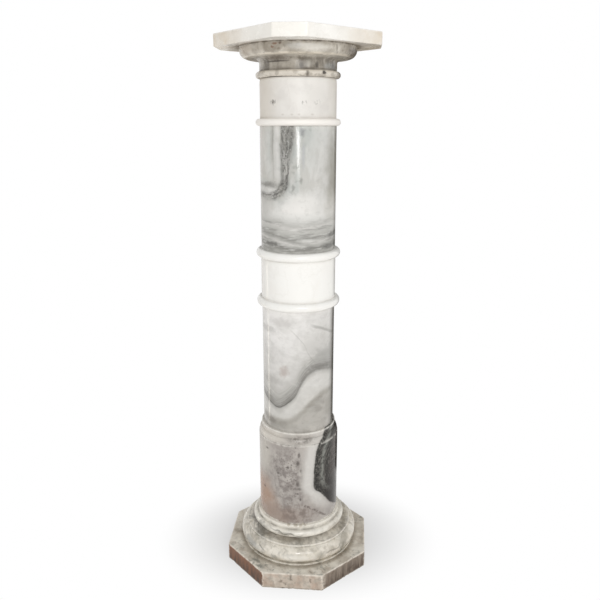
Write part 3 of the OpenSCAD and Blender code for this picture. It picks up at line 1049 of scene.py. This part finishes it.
# node, profile, outline, rounding of its arrises, spacing of its rings, depth of wear,
# unevenness of its surface, chips, material and slot
STONES = [
    ("plinth", slab_profile("plinth"), PLINTH_OUTLINE, 1.6, 2.2, 0.8, 0, (),
     plinth_marble(), "stained_marble"),
    ("base_moulding", base_profile(), ROUND, 0.8, 2.2, 0.5, 0.6,
     ((-14, 105, 4, 0.9), (-4, 106, 5, 1.0), (3, 105, 4, 0.8), (9, 106, 3, 0.7)),
     base_marble(), "cream_marble"),
    ("lower_drum", drum_profile(), ROUND, 0.5, 2.6, 0.25, 0, ((-2, 106, 3, 0.8), (6, 106, 3, 0.7)),
     lower_drum_marble(), "dark_veined_marble"),
    ("lower_shaft", slab_profile("lower_shaft"), ROUND, 0.6, 8, 0.3, 0, (), lower_shaft_marble(), BANDED),
    ("middle_band", band_profile(), ROUND, 0.7, 4, 0.2, 0, (), band_marble(), WHITE),
    ("upper_shaft", slab_profile("upper_shaft"), ROUND, 0.6, 8, 0.3, 0, (), upper_shaft_marble(), BANDED),
    ("neck_band", neck_profile(), ROUND, 0.7, 4, 0.3, 0, (), neck_marble(), WHITE),
    ("capital", capital_profile(), ROUND, 0.7, 1.8, 0.8, 1.2, ((36, 981.5, 4.2, 3.0),),
     capital_marble(), "cream_marble"),
    ("abacus", slab_profile("abacus"), ABACUS_OUTLINE, 1.3, 3, 0.2, 0, (), abacus_marble(), WHITE),
]
for node, profile, outline, radius, spacing, wear, ripple, chips, material, slot in STONES:
    piece = carve(f"{node}_stone", soften(profile, radius, spacing), outline, wear, chips, ripple)
    place(piece, node, material)


# ---------------------------------------------------------------- studio

# Half the side of the floor, in metres, and how much of its own light it adds: to the eye
# near the column, and to the stones above it
FLOOR_REACH = 12
FLOOR_LIFT = 0.55
FLOOR_BOUNCE = 0.4
# The painted pool of soft shadow round the column's foot, in which the real shadow shows as well:
# how far it reaches to the sides and to the front and back, and how far its middle lies behind the
# column, in metres
POOL_ACROSS, POOL_ALONG, POOL_BACK = 0.31, 0.235, 0.035


def stage_panel(name, corners, shader):
    """One flat sheet of the studio, through four corners. shader makes its surface."""
    material = bpy.data.materials.new(name)
    material.use_nodes = True
    tree = material.node_tree
    tree.nodes.clear()
    add(tree, "ShaderNodeOutputMaterial", shader(tree))
    mesh = bpy.data.meshes.new(name)
    mesh.from_pydata(corners, [], [(0, 1, 2, 3)])
    mesh.materials.append(material)
    panel = bpy.data.objects.new(name, mesh)
    bpy.context.scene.collection.objects.link(panel)
    return panel


def floor_paper(tree):
    """Pale paper. Near the column it shows a painted pool of soft shadow that keeps the real shadow
    too, and further off it runs into white.
    """
    matt = add(tree, "ShaderNodeBsdfDiffuse", shade("#DCDCDC"), 1.0)
    bounce = add(tree, "ShaderNodeEmission", (1, 0.97, 0.93, 1), FLOOR_BOUNCE)
    matt = add(tree, "ShaderNodeAddShader", matt, bounce)
    dim = add(tree, "ShaderNodeBsdfDiffuse", shade("#868686"), 1.0)
    lift = add(tree, "ShaderNodeEmission", (1, 1, 1, 1), FLOOR_LIFT)
    shadowed = add(tree, "ShaderNodeAddShader", dim, lift)
    white = add(tree, "ShaderNodeEmission", (1, 1, 1, 1), 1.0)
    point = add(tree, "ShaderNodeTexCoord", out=3)
    point = add(tree, VECTOR, point, NEAR * POOL_BACK, operation="ADD")
    across = add(tree, VECTOR, point, RIGHT / POOL_ACROSS, operation="DOT_PRODUCT", out=1)
    along = add(tree, VECTOR, point, NEAR / POOL_ALONG, operation="DOT_PRODUCT", out=1)
    away = add(tree, VECTOR, add(tree, JOIN, across, along, 0.0), operation="LENGTH", out=1)
    far = add(tree, RANGE, away, 0.4, 1.05, **SMOOTH)
    seen = add(tree, "ShaderNodeMixShader", far, shadowed, white)
    eye = add(tree, "ShaderNodeLightPath", out=0)
    return add(tree, "ShaderNodeMixShader", eye, matt, seen)


def around(degrees, distance, height):
    """A place in the studio, by its angle to the right of the camera's side."""
    angle = math.radians(degrees)
    return (NEAR * math.cos(angle) + RIGHT * math.sin(angle)) * distance + Vector((0, 0, height))


def upright_card(name, first, last, distance, foot, top, colour, glow=0.0):
    """An upright card between two angles, which shows only as a reflection in the polish."""
    corners = [
        around(angle, distance, height)
        for angle, height in ((first, foot), (last, foot), (last, top), (first, top))
    ]
    reflected_card(name, corners, colour, glow)


def reflected_card(name, corners, colour, glow):
    card = stage_panel(
        name, corners, lambda tree: add(tree, "ShaderNodeEmission", shade(colour), glow),
    )
    card.visible_camera = False
    card.visible_diffuse = False
    card.visible_shadow = False


def lamp(name, place_at, aim, size, power):
    data = bpy.data.lights.new(name, "AREA")
    data.size = size
    data.energy = power
    made = bpy.data.objects.new(name, data)
    made.location = place_at
    made.rotation_mode = "QUATERNION"
    made.rotation_quaternion = (Vector(aim) - Vector(place_at)).to_track_quat("-Z", "Y")
    made.visible_camera = False
    bpy.context.scene.collection.objects.link(made)


def studio_world():
    """White to the eye and in reflections, and a plain grey light on everything else."""
    world = bpy.data.worlds.new("studio")
    bpy.context.scene.world = world
    world.use_nodes = True
    tree = world.node_tree
    tree.nodes.clear()
    seen = 0
    for ray in ("Is Camera Ray", "Is Glossy Ray", "Is Transmission Ray"):
        seen = add(tree, MATH, add(tree, "ShaderNodeLightPath", out=ray), seen, operation="MAXIMUM")
    strength = add(tree, RANGE, seen, 0, 1, 0.6, 1.0)
    add(tree, "ShaderNodeOutputWorld", add(tree, "ShaderNodeBackground", (1, 1, 1, 1), strength))


stage_panel("floor", [
    (x * FLOOR_REACH, y * FLOOR_REACH, 0) for x, y in ((-1, -1), (1, -1), (1, 1), (-1, 1))
], floor_paper)
studio_world()
# Cards that the polished stones reflect: dark ones behind the column on both sides, a warm strip
# low on the left, and a slanted white strip behind the camera that gives the upper shaft its gleam
upright_card("dark_card_right", 128, 180, 0.38, 0.01, 1.6, "#5A5754", 0.3)
upright_card("dark_card_left", 180, 198, 0.6, 0.02, 1.6, "#7A7672", 0.6)
upright_card("side_strip", -110, -106.6, 0.66, 0.01, 0.53, "#FFF8EA", 5)
reflected_card("front_strip", [
    NEAR * 1.5 + RIGHT * x + Vector((0, 0, z))
    for x, z in ((0.02, 0.725), (0.078, 0.725), (0.08, 0.9), (-0.15, 0.9))
], "#FFFFFF", 24)
lamp("softbox", around(10, 2.1, 1.5), (0, 0, 0.6), 1.3, 18)

# The camera: its lens in millimetres, how far it stands from the column's axis and above the
# floor, in metres, and how far it looks down and to the right
LENS, SENSOR_WIDTH = 38.24, 36
CAMERA_AWAY, CAMERA_HEIGHT = 1.2204, 0.8915
TILT, TURN = math.radians(15.21), math.radians(0.15)

camera_data = bpy.data.cameras.new("camera")
camera_data.lens = LENS
camera_data.sensor_width = SENSOR_WIDTH
camera_data.clip_start = 0.01
camera = bpy.data.objects.new("camera", camera_data)
camera.location = NEAR * CAMERA_AWAY + Vector((0, 0, CAMERA_HEIGHT))
aim = RIGHT * math.sin(TURN) - NEAR * math.cos(TILT) * math.cos(TURN)
aim = aim - Vector((0, 0, math.sin(TILT)))
camera.rotation_mode = "QUATERNION"
camera.rotation_quaternion = aim.to_track_quat("-Z", "Y")
bpy.context.scene.collection.objects.link(camera)
bpy.context.scene.camera = camera
bpy.context.scene.view_settings.view_transform = "Standard"
